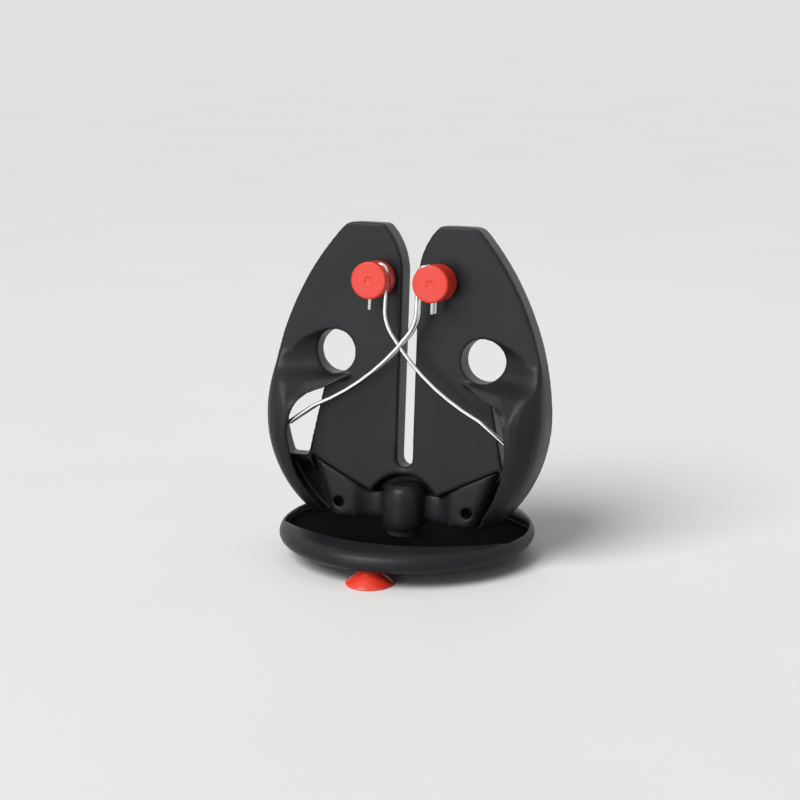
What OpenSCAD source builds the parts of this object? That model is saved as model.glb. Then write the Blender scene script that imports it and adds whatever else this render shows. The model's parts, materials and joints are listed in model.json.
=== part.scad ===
// Manual knife sharpener: winged plate on a round suction-cup stand, sprung steel rods hung from red knobs.
// Millimetres, +Z up, face towards -Y, origin on the counter under the middle of the bounding box.

/* [Stand] */
// Outer radius of the round base
base_r = 77.5; // [72:0.5:86]
// Height of the base's underside above the counter
base_low = 9.4; // [7:0.1:13]
// Thickness of the base at its rim
base_t = 11.6; // [10.6:0.1:14]
// Thickness of the recess floor
floor_t = 4.6; // [4.2:0.1:6]
// Radius of the rim's lower rounding
rim_low_r = 5; // [3:0.1:5.5]
// Width of the rim at the ends of the recess
rim_end = 3.5; // [3:0.1:8]
// Width of the rim at the front and back
rim_front = 23.5; // [20:0.5:30]
// Radius of the long sides of the recess
recess_arc_r = 96; // [90:1:130]
// Distance of the suction cups' centres from the base's edge
cup_inset = 11.5; // [9.5:0.5:16]
// Angle of the rear cups from the front cup, about the base's centre, in degrees
cup_spread = 140; // [115:1:145]
// Radius of a suction cup's lip
cup_r = 14; // [11:0.5:18]
// Radius of a suction cup's neck
cup_neck_r = 5; // [4:0.1:6.5]
// Depth of a suction cup's neck in the base
cup_seat = 3.2; // [2:0.1:3.6]
// Distance of the post in front of the base's centre
post_forward = 6; // [2:0.1:10]
// Radius of the post
post_r = 6.25; // [5.5:0.05:7]
// Length of the post above its shoulder
post_len = 19.5; // [17:0.1:21]
// Height of the post's shoulder above the recess floor
shoulder_h = 5; // [4:0.1:6]
// Width of the post's shoulder
shoulder_w = 3.75; // [3:0.05:4.5]
// Radial clearance of the post in the body
post_gap = 0.05; // [0.02:0.01:0.09]
// Radius of the screw that holds the post
stem_r = 2.5; // [2:0.1:3]

/* [Plate] */
// Backward lean of the plate in degrees
lean = 5.7; // [0:0.1:9]
// Height at which the lean leaves the plate's face in place
lean_z = 60; // [50:1:70]
// Height of the wing tops along the plate
plate_top = 200.3; // [192:0.1:208]
// Height of the plate's foot along the plate
plate_bottom = 22; // [21:0.1:24]
// Distance of the plate's face in front of the base's centre
plate_forward = 6; // [3:0.1:9]
// Thickness of the plate
plate_t = 16.5; // [15:0.1:19]
// Half of the greatest width
half_width = 86.9; // [82:0.1:92]
// Height of the greatest width
widest_z = 88.3; // [84:0.1:94]
// Radius of the upper side arcs
side_r = 171; // [150:1:200]
// Drop of the upper side arcs' centres below the greatest width
side_drop = 5; // [2:0.1:8]
// Rounding of the outer wing corners
corner_r = 9; // [5:0.5:14]
// Rounding of the inner wing corners
inner_corner_r = 4; // [2:0.5:7]
// Half width of the blade slot
slot_half = 5; // [4:0.1:6]
// Height of the centre of the slot's round end
slot_z = 59.6; // [57:0.1:64]
// Length of the slot's flare below the wing tops
flare_len = 30.3; // [24:0.1:36]
// Radius of the slot's flare
flare_r = 42.4; // [34:0.2:60]
// Distance of a finger hole from the middle
hole_x = 46.5; // [43:0.1:48]
// Height of the finger holes
hole_z = 121.8; // [119:0.1:126]
// Radius of a finger hole
hole_r = 13.2; // [12:0.1:14.4]
// Outward slant of the scoop beside a finger hole in degrees
scoop_slant = 70; // [60:1:75]
// Downward tilt of the scoop in degrees
scoop_tilt = 5; // [0:1:10]
// Height of the scoop's centre line in front of the plate's face at the finger hole
scoop_lift = 6.8; // [6:0.1:8]
// Radius of the scoop beside a finger hole
scoop_r = 15.7; // [14.5:0.1:16]

/* [Guards and windows] */
// Thickness of a guard's skin
guard_t = 2.7; // [2:0.1:3.4]
// Thickness of the outer wall beside a window
outer_wall = 4.6; // [3.6:0.1:6]
// Height of a window's lower edge
window_low = 57; // [55.5:0.1:60]
// Width of the bar between a finger hole and its window
window_bar = 4.7; // [2.4:0.1:8]
// Thickness of the ledge below a window
ledge_t = 4; // [3:0.1:6]
// Depth of the pocket below the ledge
foot_depth = 8; // [5:0.1:10]
// Distance of a window's inner edge from the middle, at its foot
window_foot_x = 62; // [59:0.1:65]
// Distance of a window's inner edge from the middle, at its head
window_head_x = 52; // [49:0.1:57]

/* [Lower cover] */
// Thickness of the plate's skin behind the cover
back_skin = 3.5; // [2.5:0.1:5]
// Height of the cover's outer top corner
cover_high = 58; // [56:0.1:60]
// Half width of the cover at its outer top corner
cover_half = 61; // [58:0.1:64]
// Half width of the cover at the foot
cover_foot_half = 47.6; // [45:0.1:50]
// Half width of the arch at the cover's inner top corner
arch_half = 20.8; // [19:0.1:23]
// Height of the cover's inner top corner
arch_low = 38.1; // [36:0.1:40]
// Radius of the arch
arch_r = 24.1; // [22:0.1:26]
// Height of the arch's crown
arch_top = 50; // [48:0.1:52]
// Gap round the cover
cover_gap = 0.25; // [0.15:0.05:0.4]
// Stand of the cover's pads proud of the plate
pad_proud = 1; // [0.4:0.1:2]
// Thickness of the cover's skin
cover_t = 3; // [2.4:0.1:4]
// Rounding of the cover's outer ends
cover_end_r = 8; // [4:0.5:10]
// Radius of the boss that takes the post
boss_r = 13; // [11.5:0.1:14]
// Height of the boss's top
boss_top = 44.5; // [43:0.1:46]
// Rounding of the boss's top
boss_round = 6; // [2:0.1:8]
// Height of the boss's seat on the post, along the plate
seat_z = 19; // [18:0.1:20]
// Radius of the hollow beside the boss
valley_r = 14; // [12:0.5:16]
// Depth of the hollow beside the boss
valley_depth = 4.5; // [3:0.1:6]
// Distance of a cover screw from the middle
screw_x = 40.8; // [38:0.1:43]
// Height of the cover screws
screw_z = 30.1; // [28:0.1:33]
// Radius of a cover screw
screw_r = 1.5; // [1.2:0.05:1.8]
// Radius of a screw's counterbore
screw_well_r = 3.2; // [2.8:0.05:4]
// Depth of a screw's counterbore behind the plate's face
screw_well = 4.6; // [3.6:0.1:5.4]
// Depth at which the cover's screw bosses meet the plate's
screw_seat = 7.5; // [6.4:0.1:8.5]

/* [Knobs and rods] */
// Distance of a knob's axis from the middle
knob_x = 19.1; // [17:0.1:21]
// Distance of the knobs' axes below the wing tops
knob_drop = 33.1; // [30:0.1:36]
// Radius of a knob
knob_r = 11.1; // [10.2:0.1:12]
// Distance of a knob's back from the plate
knob_back = 2.4; // [1.8:0.1:3.5]
// Distance of a knob's face from the plate
knob_face = 19.6; // [19:0.1:22]
// Rounding of a knob's face
knob_round = 1.2; // [0.6:0.1:2]
// Radius of the round mark on a knob's face
mark_r = 2.2; // [1.5:0.1:3]
// Depth of the round mark on a knob's face
mark_depth = 0.35; // [0.2:0.05:0.6]
// Radius of a steel rod
rod_r = 1.2; // [1:0.05:1.4]
// Distance of the left rod from the plate
left_rod_d = 12.6; // [12.2:0.1:13]
// Gap between the left rod and each right rod, front to back
rod_gap = 0.35; // [0.3:0.05:0.5]
// Bend radius of a rod's crook
crook_r = 4.8; // [4.4:0.1:5.2]
// Length of a rod's straight tail, from its cut end to the crook
tail_len = 22.6; // [21:0.1:24]
// Drop of the tail's cut end below the knob's axis
tail_drop = 17.8; // [17:0.1:19]
// Distance of the tail outside the knob's axis
tail_out = 0.7; // [0:0.1:1.2]
// Length of a rod from its crook to its first bend
neck_len = 20.3; // [18:0.1:22]
// Radius of a rod's first bend
bend_r = 26.7; // [24:0.1:30]
// Turn of a rod's first bend in degrees
bend_turn = 36; // [32:0.5:40]
// Radius of a rod's long sweep
sweep_r = 140; // [132:1:150]
// Turn of a rod's long sweep in degrees
sweep_turn = 29.8; // [27:0.1:31]
// Radius of the bend near a rod's foot
toe_r = 15; // [10:0.5:20]
// Turn back of the bend near a rod's foot in degrees
toe_turn = 11.8; // [8:0.1:14]
// Length of a rod's straight foot
toe_len = 20; // [15:0.1:22]
// Turn of the left rod past the mean rest line, in degrees
left_turn = 1.5; // [0:0.1:2]
// Turn of the right rods short of the mean rest line, in degrees
right_turn = 0.3; // [0:0.1:2]
// Radius of a pivot pin
pin_r = 3; // [2.6:0.05:3.3]
// Radial running clearance of a pin
pin_gap = 0.05; // [0.02:0.01:0.09]
// Outer radius of a bushing
bush_r = 4.5; // [4.2:0.05:5]
// Radius of a bushing's flange
bush_flange_r = 7; // [6:0.1:8]
// Radius of a spring pocket in the plate's back
pocket_r = 9; // [8.4:0.1:9.6]
// Depth of a spring pocket
pocket_depth = 9.5; // [9:0.1:10.5]
// Thickness of the cap that closes a spring pocket
cap_t = 1.6; // [1.2:0.1:2]
// Radius of a spring's wire
wire_r = 0.6; // [0.5:0.05:0.65]
// Radius of the hub a spring grips
hub_r = 4.7; // [4.4:0.05:4.9]

/* [Hidden] */

$fn = 96;
recess_floor = base_low + floor_t;
recess_half_x = base_r - rim_end;
recess_half_y = base_r - rim_front;
rim_top_r = base_t - rim_low_r;
cup_ring_r = base_r - cup_inset;
cup_hollow = base_low / 2;
cup_lip = 1.2;
neck_flare = 2;
base_y = (cup_ring_r + cup_r - base_r) / 2;
post_y = base_y - post_forward;
post_shoulder = recess_floor + shoulder_h;
shoulder_r = post_r + shoulder_w;
stem_head_r = 2 * stem_r;
stem_head_t = 2;
stem_grip = 16;
post_round = 1;
post_head_gap = 0.6;
plate_y = base_y - plate_forward;
plate_z = lean_z + post_shoulder - seat_z;
side_cx = half_width - sqrt(side_r * side_r - side_drop * side_drop);
side_cz = widest_z - side_drop;
recess_arc_y = recess_arc_r - recess_half_y;
flare_z = plate_top - flare_len;
knob_z = plate_top - knob_drop;
window_high = hole_z - hole_r - window_bar;
cover_slant = atan2(cover_half - cover_foot_half, cover_high - plate_bottom);
boss_mid = 30;
boss_y = (post_y - plate_y) / cos(lean) + (lean_z - boss_mid) * tan(lean);
valley_x = boss_r + 6;
valley_y = valley_depth - valley_r;
chamber_depth = plate_t - back_skin;
screw_post_r = screw_well_r + 1.8;
screw_head_r = screw_well_r - 0.3;
screw_head_t = 1.8;
screw_end = chamber_depth - 2;
screw_gap = 0.2;
press_seat = 0.02;
lap_step = 0.02;
lap = 0.3;
over_cut = 1;
beyond = plate_top;
rod_step = 2 * rod_r + rod_gap;
knob_gap = 0.6;
pin_nose = knob_back + 5.2;
pocket_floor = plate_t - pocket_depth;
cap_gap = 0.5;
pin_end = plate_t - cap_t - cap_gap;
collar_r = hub_r + 2.3;
collar_t = 1;
hub_len = 2.8;

// Colours
black = [0.09, 0.09, 0.095];
red = [0.82, 0.12, 0.08];
steel = [0.72, 0.73, 0.75];

// Places a piece drawn on an upright plate at the leaning plate's real place
module on_plate() {
    translate([0, plate_y, plate_z])
        rotate([-lean, 0, 0])
            translate([0, 0, -lean_z])
                children();
}

// A slab with a flat outline in X and Z, between two depths behind the plate's face
module slab(front, back) {
    translate([0, back, 0])
        rotate([90, 0, 0])
            linear_extrude(back - front)
                children();
}

// A round bar square to the plate, between two depths behind the plate's face
module bar(x, z, r, front, back) {
    translate([x, front, z])
        rotate([-90, 0, 0])
            cylinder(r = r, h = back - front);
}

// Both sides of a piece that is alike left and right
module both_sides() {
    children();
    mirror([1, 0, 0])
        children();
}

// Plate outline
function side_x(z) = z < widest_z
    ? sqrt(half_width * half_width - (z - widest_z) * (z - widest_z))
    : side_cx + sqrt(side_r * side_r - (z - side_cz) * (z - side_cz));
outer_c = [side_cx + sqrt(pow(side_r - corner_r, 2) - pow(plate_top - corner_r - side_cz, 2)),
    plate_top - corner_r];
outer_t = [side_cx, side_cz] + (outer_c - [side_cx, side_cz]) * side_r / (side_r - corner_r);
flare_c = [slot_half + flare_r, flare_z];
inner_dz = flare_len - inner_corner_r;
inner_c = [flare_c[0] - sqrt(pow(flare_r - inner_corner_r, 2) - inner_dz * inner_dz),
    plate_top - inner_corner_r];
inner_t = flare_c + (inner_c - flare_c) * flare_r / (flare_r - inner_corner_r);

module side_outline() {
    intersection() {
        translate([side_cx, side_cz])
            circle(r = side_r);
        translate([-side_cx, side_cz])
            circle(r = side_r);
        union() {
            translate([0, widest_z])
                circle(r = half_width);
            translate([-beyond, widest_z])
                square([2 * beyond, beyond]);
        }
        translate([-beyond, plate_bottom])
            square([2 * beyond, plate_top - plate_bottom]);
    }
}

module slot_outline() {
    translate([0, slot_z])
        circle(r = slot_half);
    translate([-slot_half, slot_z])
        square([2 * slot_half, plate_top]);
    difference() {
        translate([-flare_r / 2, flare_z])
            square([flare_r, flare_len + over_cut]);
        translate(flare_c)
            circle(r = flare_r);
        translate([-flare_c[0], flare_c[1]])
            circle(r = flare_r);
    }
}

module corner_cuts() {
    polygon([[outer_c[0], plate_top], outer_t + [corner_r, corner_r], outer_t]);
    polygon([[inner_c[0], plate_top], inner_t + [-inner_corner_r, inner_corner_r], inner_t]);
}

module corner_rounds() {
    translate(outer_c)
        circle(r = corner_r);
    translate(inner_c)
        circle(r = inner_corner_r);
}

module plate_outline() {
    difference() {
        side_outline();
        slot_outline();
        both_sides()
            corner_cuts();
    }
    both_sides()
        corner_rounds();
}

module window_outline() {
    intersection() {
        translate([0, widest_z])
            circle(r = half_width - outer_wall);
        polygon([[window_head_x, window_high], [window_foot_x, window_low], [half_width, window_low],
            [half_width, window_high]]);
    }
}

// Pocket beside the cover's end, under the ledge below a window
module foot_outline() {
    intersection() {
        translate([0, widest_z])
            circle(r = half_width - outer_wall);
        polygon([[cover_foot_half - over_cut, plate_bottom], [cover_half - over_cut, window_low - ledge_t],
            [half_width, window_low - ledge_t], [half_width, plate_bottom]]);
    }
}

// Outline of the cover, or of the chamber it closes when the gap is nothing
module cover_outline(gap) {
    polygon([[cover_half - gap, cover_high - gap], [arch_half, arch_low - gap], [-arch_half, arch_low - gap],
        [-cover_half + gap, cover_high - gap], [-cover_foot_half + gap, plate_bottom],
        [cover_foot_half - gap, plate_bottom]]);
}

module arch_outline() {
    intersection() {
        translate([0, arch_top - arch_r])
            circle(r = arch_r);
        translate([-arch_r, plate_bottom])
            square([2 * arch_r, arch_top]);
    }
}

// Guards
// Stations from the top of a guard to its foot: inner edge, crest, and place on the plate's outline.
// Each row: edge inside the outline, edge z, edge forward, crest inside the outline, crest z, crest forward,
// outline z, wall forward, upward bow between edge and crest
guard_rows = [
    [34.8, 135.4, 0.0, 2.6, 121.5, 0.2, 121.0, -0.5, 3.2],
    [29.6, 130.8, -3.2, 2.8, 118.8, 1.4, 118.5, 0.0, 2.6],
    [27.8, 123.2, -4.8, 3.6, 115.6, 3.4, 115.8, 0.4, 1.5],
    [29.8, 115.8, -4.6, 5.0, 112.2, 5.9, 112.8, 0.9, 0.7],
    [36.3, 111.2, -3.4, 6.8, 108.6, 8.7, 109.6, 1.5, 0.2],
    [44.4, 109.3, -1.5, 9.4, 104.7, 11.8, 105.8, 2.0, 0.0],
    [51.1, 108.7, 1.0, 12.2, 100.6, 14.8, 101.0, 2.4, 0.0],
    [45, 104.6, 4.5, 13.9, 97.0, 16.8, 96.0, 2.7, 0.0],
    [37, 100.2, 8.9, 15.4, 93.6, 18.6, 91.5, 3.0, 0.0],
    [29.6, 97.0, 14.0, 16.4, 90.4, 19.9, 87.5, 3.0, 0.0],
    [24.8, 93.4, 17.8, 16.9, 87.2, 20.8, 83.5, 3.0, 0.0],
    [20.9, 87.6, 20.3, 16.6, 83.4, 21.3, 79.0, 3.0, 0.0],
    [18.5, 80.6, 21.2, 15.3, 78.6, 21.5, 74.0, 3.0, 0.0],
    [16.2, 72.5, 20.8, 13.3, 71.2, 21.0, 67.0, 3.0, 0.0],
    [14.5, 62.4, 19.2, 11.7, 61.0, 19.4, 57.5, 3.0, 0.0],
    [11.8, 50.6, 16.6, 9.7, 49.2, 16.8, 46.5, 2.6, 0.0],
    [10.4, 39.8, 13.2, 8.4, 38.4, 13.4, 36.5, 2.0, 0.0],
    [9.7, 30.9, 8.6, 7.7, 29.9, 8.8, 28.8, 1.0, 0.0],
    [8.2, 22.6, 1.2, 6.4, 22.5, 1.2, 22.4, 0.0, 0.0]];
guard_sub = 2;
guard_root = 3;
guard_bury = 0.6;
guard_open = 14;
guard_blend = 4;
guard_wall = 1.25 * guard_t;
guard_inset = 0.2;
guard_sag = 0.25;
guard_steps = (len(guard_rows) - 1) * guard_sub;

// A smooth curve through the rows
function row(i) = guard_rows[max(0, min(len(guard_rows) - 1, i))];
function blend_row(a, b, c, d, t) = 0.5 * (2 * b + (c - a) * t + (2 * a - 5 * b + 4 * c - d) * t * t
    + (3 * b - a - 3 * c + d) * t * t * t);
function station(k) = let (i = min(floor(k / guard_sub), len(guard_rows) - 2), t = k / guard_sub - i)
    blend_row(row(i - 1), row(i), row(i + 1), row(i + 2), t);

// One closed ring of a guard's skin, from its inner edge over the crest to the wall and back inside
// Near its top the skin is thick enough to reach into the plate, so that the scoop opens no hollow there
function wall_x(g) = side_x(g[6]) - guard_inset;
function inner_x(g) = wall_x(g) - min(guard_wall, 0.5 * (g[3] - guard_inset));
function skin(g) = guard_t
    + max(0, g[5] + guard_bury - guard_t) * max(0, min(1, (guard_open - g[5]) / guard_blend));
function crest_x(g) = side_x(g[6]) - g[3];
function quarter(g, a, x1, high, low) = [crest_x(g) + (x1 - crest_x(g)) * sin(a),
    -(low + (high - low) * cos(a)), g[4] + (g[6] - g[4]) * sin(a)];
function ramp(g, t, in) = let (sag = guard_sag * (1 - t) * t * (g[0] - g[3]))
    [side_x(g[6]) - g[0] + (g[0] - g[3]) * t, -(g[2] + (g[5] - g[2]) * t - in - sag),
        g[1] + (g[4] - g[1]) * t + 4 * g[8] * t * (1 - t)];
function guard_ring(g) = concat(
    [for (t = [0, 0.35, 0.7]) ramp(g, t, 0)],
    [for (a = [0, 20, 40, 58, 75, 90]) quarter(g, a, wall_x(g), g[5], g[7])],
    [[wall_x(g), guard_root, g[6]]],
    [for (a = [90, 66, 40, 0]) quarter(g, a, inner_x(g), g[5] - skin(g), -guard_root)],
    [for (t = [0.5, 0]) ramp(g, t, skin(g))]);

// A closed solid through a row of rings that all have the same number of points
module loft(rings) {
    n = len(rings[0]);
    last = len(rings) - 1;
    points = [for (ring = rings) each ring];
    sides = [for (k = [0:last - 1], j = [0:n - 1]) let (m = (j + 1) % n, b = k * n)
        each [[b + j, b + m, b + n + m], [b + j, b + n + m, b + n + j]]];
    low_cap = [for (j = [n - 1:-1:0]) j];
    high_cap = [for (j = [0:n - 1]) last * n + j];
    polyhedron(points = points, faces = concat([low_cap], sides, [high_cap]), convexity = 8);
}

module guard() {
    loft([for (k = [0:guard_steps]) guard_ring(station(k))]);
}

// Hollow from a finger hole out to the guard, for a finger's grip
module scoop() {
    translate([hole_x, -scoop_lift, hole_z])
        rotate([0, 0, scoop_slant])
            rotate([90 + scoop_tilt, 0, 0])
                cylinder(r = scoop_r, h = hole_x);
}

// Seat for one knob's bushing, spring and cap
module knob_seat() {
    bar(knob_x, knob_z, bush_r, -over_cut, plate_t);
    bar(knob_x, knob_z, pocket_r, pocket_floor, plate_t + over_cut);
    translate([knob_x, 0, knob_z])
        spring_leg_slot();
}

module spring_leg_slot() {
    translate([-leg_len - leg_gap, coil_y - wire_r - leg_gap, coil_r - wire_r - leg_gap])
        cube([leg_len, 2 * (wire_r + leg_gap), 2 * (wire_r + leg_gap)]);
}

module screw_post() {
    bar(screw_x, screw_z, screw_post_r, screw_seat, chamber_depth + over_cut);
}

module body_shell() {
    color(black)
        on_plate()
            difference() {
                union() {
                    difference() {
                        slab(0, plate_t)
                            plate_outline();
                        slab(-over_cut, plate_t + over_cut)
                            both_sides()
                                window_outline();
                        slab(-over_cut, chamber_depth) {
                            cover_outline(0);
                            arch_outline();
                        }
                        slab(-over_cut, foot_depth)
                            both_sides()
                                foot_outline();
                    }
                    both_sides()
                        screw_post();
                    both_sides()
                        guard();
                }
                both_sides() {
                    bar(hole_x, hole_z, hole_r, -2 * plate_t, plate_t + over_cut);
                    scoop();
                    knob_seat();
                    bar(screw_x, screw_z, screw_r + press_seat, screw_seat - over_cut, screw_end + cap_gap);
                }
            }
}

// Lower cover
module cover_end(front, gap) {
    translate([cover_half - gap, 0, cover_high])
        rotate([0, cover_slant, 0])
            translate([0, 0, -beyond])
                linear_extrude(2 * beyond) {
                    translate([-beyond, front])
                        square([beyond - cover_end_r, beyond]);
                    translate([-cover_end_r - over_cut, front + cover_end_r])
                        square([cover_end_r + over_cut, beyond]);
                    translate([-cover_end_r, front + cover_end_r])
                        circle(r = cover_end_r);
                }
}

module cover_block(front, back, gap) {
    intersection() {
        slab(front, back)
            cover_outline(gap);
        cover_end(front, gap);
        mirror([1, 0, 0])
            cover_end(front, gap);
    }
}

module valleys(r) {
    both_sides()
        translate([valley_x, valley_y, 0])
            cylinder(r = r, h = beyond);
}

module boss() {
    intersection() {
        translate([0, boss_y, 0])
            rotate_extrude() {
                square([boss_r, boss_top - boss_round]);
                square([boss_r - boss_round, boss_top]);
                translate([boss_r - boss_round, boss_top - boss_round])
                    circle(r = boss_round, $fn = 48);
            }
        slab(-2 * boss_r, chamber_depth - cover_gap)
            translate([-2 * boss_r, 0])
                square([4 * boss_r, 2 * boss_top]);
    }
}

module lower_cover() {
    color(black)
        difference() {
            on_plate()
                difference() {
                    union() {
                        difference() {
                            cover_block(-pad_proud, chamber_depth - cover_gap, cover_gap);
                            valleys(valley_r);
                            difference() {
                                translate([0, 0, -2 * cover_t])
                                    cover_block(cover_t - pad_proud, plate_t, cover_gap + cover_t);
                                valleys(valley_r + cover_t);
                            }
                        }
                        boss();
                        both_sides()
                            bar(screw_x, screw_z, screw_post_r, 0, screw_seat);
                    }
                    both_sides() {
                        bar(screw_x, screw_z, screw_well_r, -pad_proud - over_cut, screw_well);
                        bar(screw_x, screw_z, screw_r + screw_gap, 0, screw_seat + over_cut);
                    }
                }
            translate([0, post_y, 0])
                cylinder(r = post_r + post_gap, h = post_shoulder + post_len + post_head_gap);
            translate([0, post_y, post_shoulder + post_gap - boss_top])
                cylinder(r = 3 * boss_r, h = boss_top);
        }
}

module cover_screws() {
    color(steel)
        on_plate()
            both_sides()
                difference() {
                    union() {
                        bar(screw_x, screw_z, screw_head_r, screw_well - screw_head_t, screw_well);
                        bar(screw_x, screw_z, screw_r, screw_well - screw_head_t / 2, screw_end);
                    }
                    translate([screw_x, 0, screw_z])
                        rotate([-90, 0, 0])
                            cylinder(r = 0.45 * screw_head_r, h = screw_well - screw_head_t / 2, $fn = 6);
                }
}

// Stand
module recess_outline() {
    intersection() {
        circle(r = recess_half_x);
        translate([0, recess_arc_y])
            circle(r = recess_arc_r);
        translate([0, -recess_arc_y])
            circle(r = recess_arc_r);
    }
}

module base_profile() {
    square([base_r - rim_top_r, base_t]);
    square([base_r - rim_low_r, rim_low_r]);
    translate([base_r - rim_low_r, rim_low_r])
        circle(r = rim_low_r);
    intersection() {
        translate([base_r - rim_top_r, rim_low_r])
            circle(r = rim_top_r);
        translate([0, rim_low_r])
            square([base_r + over_cut, base_t]);
    }
}

module cup_place(turn) {
    translate([0, base_y, 0])
        rotate([0, 0, turn])
            translate([0, -cup_ring_r, 0])
                children();
}

module base_dish() {
    color(black)
        difference() {
            translate([0, base_y, base_low])
                rotate_extrude()
                    base_profile();
            translate([0, base_y, recess_floor])
                linear_extrude(base_t)
                    recess_outline();
            translate([0, post_y, base_low - over_cut])
                cylinder(r = stem_r + post_gap, h = base_t);
            translate([0, post_y, base_low - over_cut])
                cylinder(r = stem_head_r + screw_gap, h = stem_head_t + over_cut);
            for (turn = [0, cup_spread, -cup_spread])
                cup_place(turn)
                    translate([0, 0, base_low - over_cut])
                        cylinder(r = cup_neck_r, h = cup_seat + over_cut);
        }
}

module post() {
    color(black)
        difference() {
            translate([0, post_y, recess_floor])
                rotate_extrude() {
                    square([shoulder_r, shoulder_h]);
                    square([post_r, shoulder_h + post_len - post_round]);
                    square([post_r - post_round, shoulder_h + post_len]);
                    translate([post_r - post_round, shoulder_h + post_len - post_round])
                        circle(r = post_round, $fn = 48);
                }
            translate([0, post_y, recess_floor - over_cut])
                cylinder(r = stem_r + press_seat, h = stem_grip + 2 * over_cut);
        }
}

module post_screw() {
    color(steel)
        translate([0, post_y, base_low])
            difference() {
                union() {
                    cylinder(r = stem_head_r, h = stem_head_t);
                    cylinder(r = stem_r, h = floor_t + stem_grip);
                }
                translate([0, 0, -over_cut])
                    cylinder(r = 0.8 * stem_r, h = over_cut + 0.7 * stem_head_t, $fn = 6);
            }
}

module suction_cup() {
    rotate_extrude()
        polygon([[0, cup_hollow], [cup_r - cup_neck_r, cup_hollow / 2], [cup_r - cup_lip, 0], [cup_r, 0],
            [cup_r, cup_lip], [cup_neck_r + neck_flare, cup_hollow + neck_flare], [cup_neck_r, base_low],
            [cup_neck_r, base_low + cup_seat], [0, base_low + cup_seat]]);
}

module suction_cup_front() {
    color(red)
        cup_place(0)
            suction_cup();
}

module suction_cup_back_left() {
    color(red)
        cup_place(-cup_spread)
            suction_cup();
}

module suction_cup_back_right() {
    color(red)
        cup_place(cup_spread)
            suction_cup();
}

// Rods
// Each piece of a rod's path: length of a straight, or bend radius and turn to the left in degrees
rod_path = [[tail_len, 0], [crook_r, -180], [neck_len, 0], [bend_r, bend_turn], [sweep_r, sweep_turn],
    [toe_r, -toe_turn], [toe_len, 0]];
rod_start = [-tail_out, -tail_drop];
crook_x = rod_start[0] + crook_r;
crook_z = rod_start[1] + rod_path[0][0];

function leg_end(p) = p[1] == 0 ? [p[0], 0]
    : [p[0] * sin(abs(p[1])), sign(p[1]) * p[0] * (1 - cos(p[1]))];
function turned(v, a) = [v[0] * cos(a) - v[1] * sin(a), v[0] * sin(a) + v[1] * cos(a)];
function path_angle(i) = i == 0 ? 90 : path_angle(i - 1) + rod_path[i - 1][1];
function path_point(i) = i == 0 ? rod_start
    : path_point(i - 1) + turned(leg_end(rod_path[i - 1]), path_angle(i - 1));

// One piece of a rod, running past both its ends so that it joins its neighbours
module rod_leg(p, r, past) {
    extra = p[1] == 0 ? 0 : past / p[0] * 180 / PI;
    if (p[1] == 0)
        translate([-past, 0, 0])
            rotate([0, 90, 0])
                cylinder(r = r, h = p[0] + 2 * past, $fn = 32);
    else
        translate([0, sign(p[1]) * p[0], 0])
            rotate([0, 0, (p[1] > 0 ? -90 : 90 + p[1]) - extra])
                rotate_extrude(angle = abs(p[1]) + 2 * extra, $fn = 180)
                    translate([p[0], 0])
                        circle(r = r, $fn = 32);
}

// A rod lying in the plane of X and Z, about the knob's axis, with the press turn given
module rod_form(press, r, count) {
    rotate([90, 0, 0])
        rotate([0, 0, -press])
            for (i = [0:count - 1])
                translate(path_point(i))
                    rotate([0, 0, path_angle(i)])
                        rod_leg(rod_path[i], i % 2 == 0 ? r - lap_step : r, i % 2 == 0 ? lap : 0);
}

module left_at(forward) {
    translate([-knob_x, -forward, knob_z])
        children();
}

module right_at(forward) {
    translate([knob_x, -forward, knob_z])
        mirror([1, 0, 0])
            children();
}

module left_rod() {
    color(steel)
        on_plate()
            left_at(left_rod_d)
                rod_form(left_turn, rod_r, len(rod_path));
}

module right_front_rod() {
    color(steel)
        on_plate()
            right_at(left_rod_d + rod_step)
                rod_form(-right_turn, rod_r, len(rod_path));
}

module right_back_rod() {
    color(steel)
        on_plate()
            right_at(left_rod_d - rod_step)
                rod_form(-right_turn, rod_r, len(rod_path));
}

// Knobs
module knob_blank() {
    rotate([90, 0, 0])
        rotate_extrude() {
            difference() {
                union() {
                    translate([0, knob_back])
                        square([knob_r, knob_face - knob_back - knob_round]);
                    translate([0, knob_back])
                        square([knob_r - knob_round, knob_face - knob_back]);
                    translate([knob_r - knob_round, knob_face - knob_round])
                        circle(r = knob_round, $fn = 48);
                }
                translate([0, knob_face - mark_depth])
                    square([mark_r, over_cut]);
            }
        }
}

// Slit on a knob's inner side that a rod is laid into
module rod_slit() {
    rotate([90, 0, 0])
        translate([0, 0, -rod_r - press_seat])
            linear_extrude(2 * rod_r + 2 * press_seat)
                difference() {
                    translate([crook_x, -2 * knob_r])
                        square([2 * knob_r, 4 * knob_r]);
                    translate([crook_x, crook_z])
                        circle(r = crook_r - rod_r - press_seat);
                    translate([crook_x - knob_r, crook_z - 2 * knob_r])
                        square([knob_r + crook_r - rod_r - press_seat, 2 * knob_r]);
                }
}

module knob_groove(press, forward) {
    translate([0, -forward, 0]) {
        rod_form(press, rod_r + press_seat, 3);
        rotate([0, press, 0])
            rod_slit();
    }
}

module left_knob() {
    color(red)
        on_plate()
            left_at(0)
                difference() {
                    knob_blank();
                    knob_groove(left_turn, left_rod_d);
                    rotate([90, 0, 0])
                        cylinder(r = pin_r, h = pin_nose);
                }
}

module right_knob() {
    color(red)
        on_plate()
            right_at(0)
                difference() {
                    knob_blank();
                    knob_groove(-right_turn, left_rod_d + rod_step);
                    knob_groove(-right_turn, left_rod_d - rod_step);
                    rotate([90, 0, 0])
                        cylinder(r = pin_r, h = pin_nose);
                }
}

module pivot_pin() {
    bar(0, 0, pin_r, -pin_nose, pin_end);
}

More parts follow.
